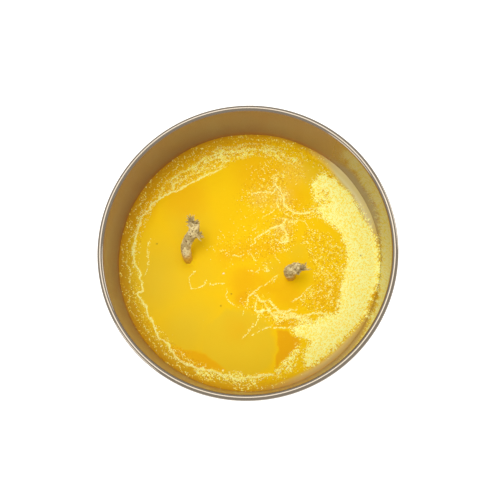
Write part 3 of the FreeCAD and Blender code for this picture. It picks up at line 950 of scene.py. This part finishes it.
def make_wick(side, route, tufts, seed, finish):
    """Lays a straight braid along its route and adds its loose ends."""
    level = WAX_TOP - settings("wax").meniscus_height
    foot_x, foot_y = wick_place(side)
    foot_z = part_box(f"wick_{side}")[0][2]
    points = [Vector((foot_x, foot_y, foot_z)), Vector((foot_x, foot_y, (foot_z + level) / 2)),
              Vector((foot_x, foot_y, level - 5 * MM))]
    points += [Vector((foot_x + x * MM, foot_y + y * MM, level + z * MM)) for x, y, z in route]

    deselect()
    bpy.ops.curve.primitive_nurbs_path_add(radius=1.0, location=(0, 0, 0))
    guide = bpy.context.object
    guide.data.splines.clear()
    spline = guide.data.splines.new("NURBS")
    spline.points.add(len(points) - 1)
    for knot, place in zip(spline.points, points):
        knot.co = (*place, 1.0)
    spline.order_u = 3
    spline.use_endpoint_u = True
    spline.resolution_u = 24
    guide.data.use_stretch = False
    guide.data.use_deform_bounds = False

    whole = spline.calc_length()
    wick = braid(0.0, whole)
    deselect()
    wick.select_set(True)
    bpy.context.view_layer.objects.active = wick
    follow = wick.modifiers.new("route", "CURVE")
    follow.object = guide
    follow.deform_axis = "POS_Z"
    bpy.ops.object.modifier_apply(modifier=follow.name)
    bpy.data.objects.remove(guide)

    parts = [wick]
    for number, (start, way, reach, spread, count) in enumerate(tufts):
        fibres = tuft(start, way, reach, spread, count, seed + number)
        for fibre in fibres:
            fibre.data.transform(Matrix.Translation((foot_x, foot_y, level)))
        parts += fibres
    piece = joined(parts, f"wick_{side}_braid")
    finish_piece(piece, "wick_cotton", finish, f"wick_{side}", angle=80.0)


class MakeWicks(bpy.types.Operator):
    """Braid the two wicks and fray their ends"""
    bl_idname = "candle.make_wicks"
    bl_label = "Wicks"

    def execute(self, context):
        finish = waxed_cotton()
        make_wick("left", LEFT_ROUTE, LEFT_TUFTS, 11, finish)
        make_wick("right", RIGHT_ROUTE, RIGHT_TUFTS, 51, finish)
        return {"FINISHED"}


# ------------------------------------------------------------------ tabs, stickers and label

def pressed_steel():
    holders = settings("holders")
    finish = Finish("pressed_steel", Metallic=1.0)
    grain = finish.noise(0.3 * MM, 3.0, 0.6, finish.stretched(1, 0.15, 1))
    spots = finish.noise(2.5 * MM, 3.0)
    finish.feed(
        Base_Color=finish.mix(spots.over(0.35, 0.7) * 0.4, holders.tab, holders.tab_spots),
        Roughness=0.24 + grain * 0.16,
        Normal=finish.bump(grain, 0.01 * MM))
    return finish


def closed_foam():
    holders = settings("holders")
    finish = Finish("closed_foam")
    cells = finish.noise(0.35 * MM, 2.0, 0.7)
    tone = finish.noise(3 * MM, 2.0)
    finish.feed(
        Base_Color=finish.mix(tone * 0.4, holders.foam, holders.foam_shade),
        Roughness=0.8 + cells * 0.15,
        Normal=finish.bump(cells, 0.05 * MM))
    return finish


def label_paper():
    holders = settings("holders")
    finish = Finish("label_paper")
    fibres = finish.noise(0.5 * MM, 4.0, 0.7)
    tone = finish.noise(14 * MM, 3.0)
    finish.feed(
        Base_Color=finish.mix(fibres.over(0.3, 0.8) * 0.3 + tone * 0.25, holders.paper, holders.paper_fibres),
        Roughness=0.78 + fibres * 0.12,
        Normal=finish.bump(fibres, 0.012 * MM))
    return finish


class DressHolders(bpy.types.Operator):
    """Give the tabs, the stickers and the label their materials"""
    bl_idname = "candle.dress_holders"
    bl_label = "Tabs, stickers and label"

    def execute(self, context):
        steel, foam = pressed_steel(), closed_foam()
        for side in ("left", "right"):
            dress_node(f"sustainer_{side}", steel)
            dress_node(f"sticker_{side}", foam)
        dress_node("base_label", label_paper())
        return {"FINISHED"}


# ------------------------------------------------------------------ stage

def soft_light(name, power, place, size, colour):
    """A round light that points at the middle of the rim and isn't seen itself."""
    deselect()
    bpy.ops.object.light_add(type="AREA", location=place)
    light = bpy.context.object
    light.name = name
    light.data.shape = "DISK"
    light.data.size = size
    light.data.energy = power
    light.data.color = colour
    light.rotation_euler = (Vector((0, 0, TIN_HEIGHT)) - Vector(place)).to_track_quat("-Z", "Y").to_euler()
    light.visible_camera = False


# Each light: its place in metres, its width and its colour.
KEY_LIGHT = ((-0.16, 0.20, 0.80), 0.5, (1.0, 0.985, 0.96))
SIDE_LIGHTS = {
    "left_light": ((-0.85, -0.5, 0.35), 0.5, (1.0, 1.0, 1.0)),
    "right_light": ((0.9, 0.45, 0.35), 0.5, (1.0, 1.0, 1.0)),
}
FLOOR_SIZE = 40.0
FLOOR_DROP = 0.02 * MM
# Distances from the tin's axis over which the floor takes the colour of the room.
FLOOR_FADE = (0.2, 0.7)
CAMERA_PLACE = (7.4 * MM, -38.65 * MM, 212.5 * MM)
CAMERA_TURN = (6.18, 2.3, 0)
CAMERA_LENS = 33.65
CAMERA_SHIFT = 0.13


class SetStage(bpy.types.Operator):
    """Floor, soft light and camera"""
    bl_idname = "candle.set_stage"
    bl_label = "Stage"

    def execute(self, context):
        stage = settings("stage")
        deselect()
        # The floor lies a hair low, and only its upper side shows, so the base can be seen from below.
        bpy.ops.mesh.primitive_plane_add(size=FLOOR_SIZE, location=(0, 0, -FLOOR_DROP))
        floor = active("floor")
        finish = Finish("pale_floor", Roughness=0.6, Emission_Strength=stage.floor_glow)
        x, y, z = finish.axes()
        across = finish.add_math("SQRT", x * x + y * y)
        pale = finish.mix(across.over(*FLOOR_FADE), stage.floor, stage.far_floor)
        below = Field(finish, finish.add("ShaderNodeNewGeometry", {}, {}).outputs["Backfacing"])
        finish.feed(Base_Color=pale, Emission_Color=pale, Alpha=1 - below)
        floor.data.materials.append(finish.material)

        world = bpy.data.worlds.new("room")
        context.scene.world = world
        world.use_nodes = True
        world.node_tree.nodes["Background"].inputs["Color"].default_value = stage.room
        world.node_tree.nodes["Background"].inputs["Strength"].default_value = stage.room_glow
        soft_light("key_light", stage.key_power, *KEY_LIGHT)
        for name, light in SIDE_LIGHTS.items():
            soft_light(name, stage.side_power, *light)

        deselect()
        bpy.ops.object.camera_add(location=CAMERA_PLACE)
        camera = bpy.context.object
        camera.rotation_euler = [math.radians(angle) for angle in CAMERA_TURN]
        camera.data.sensor_width = 36.0
        camera.data.lens = CAMERA_LENS
        camera.data.shift_y = CAMERA_SHIFT
        camera.data.clip_start = 0.01
        context.scene.camera = camera
        context.scene.view_settings.view_transform = "Standard"
        return {"FINISHED"}


# ------------------------------------------------------------------ add-on

class CandlePanel(bpy.types.Panel):
    """Lists the pieces and what can be set"""
    bl_idname = "VIEW3D_PT_candle_tin"
    bl_label = "Candle tin"
    bl_space_type = "VIEW_3D"
    bl_region_type = "UI"
    bl_category = "Candle tin"

    def draw(self, context):
        for name, operators in SECTIONS.items():
            box = self.layout.box()
            for operator in operators:
                box.operator(operator.bl_idname)
            group = settings(name)
            for key in group.bl_rna.properties.keys():
                if key not in ("rna_type", "name"):
                    box.prop(group, key)


SECTIONS = {
    "tin": [MakeTin],
    "wax": [MakeWax],
    "wick": [MakeWicks],
    "holders": [DressHolders],
    "stage": [SetStage],
}
GROUPS = {
    "tin": TinSettings,
    "wax": WaxSettings,
    "wick": WickSettings,
    "holders": HolderSettings,
    "stage": StageSettings,
}
CLASSES = [*GROUPS.values(), MakeTin, MakeWax, MakeWicks, DressHolders, SetStage, CandlePanel]


def register():
    for entry in CLASSES:
        bpy.utils.register_class(entry)
    for name, group in GROUPS.items():
        setattr(bpy.types.Scene, f"candle_{name}", bpy.props.PointerProperty(type=group))


def unregister():
    for name in GROUPS:
        delattr(bpy.types.Scene, f"candle_{name}")
    for entry in reversed(CLASSES):
        bpy.utils.unregister_class(entry)


def main():
    register()
    bpy.ops.candle.make_tin()
    bpy.ops.candle.make_wax()
    bpy.ops.candle.make_wicks()
    bpy.ops.candle.dress_holders()
    bpy.ops.candle.set_stage()


if __name__ == "__main__":
    main()
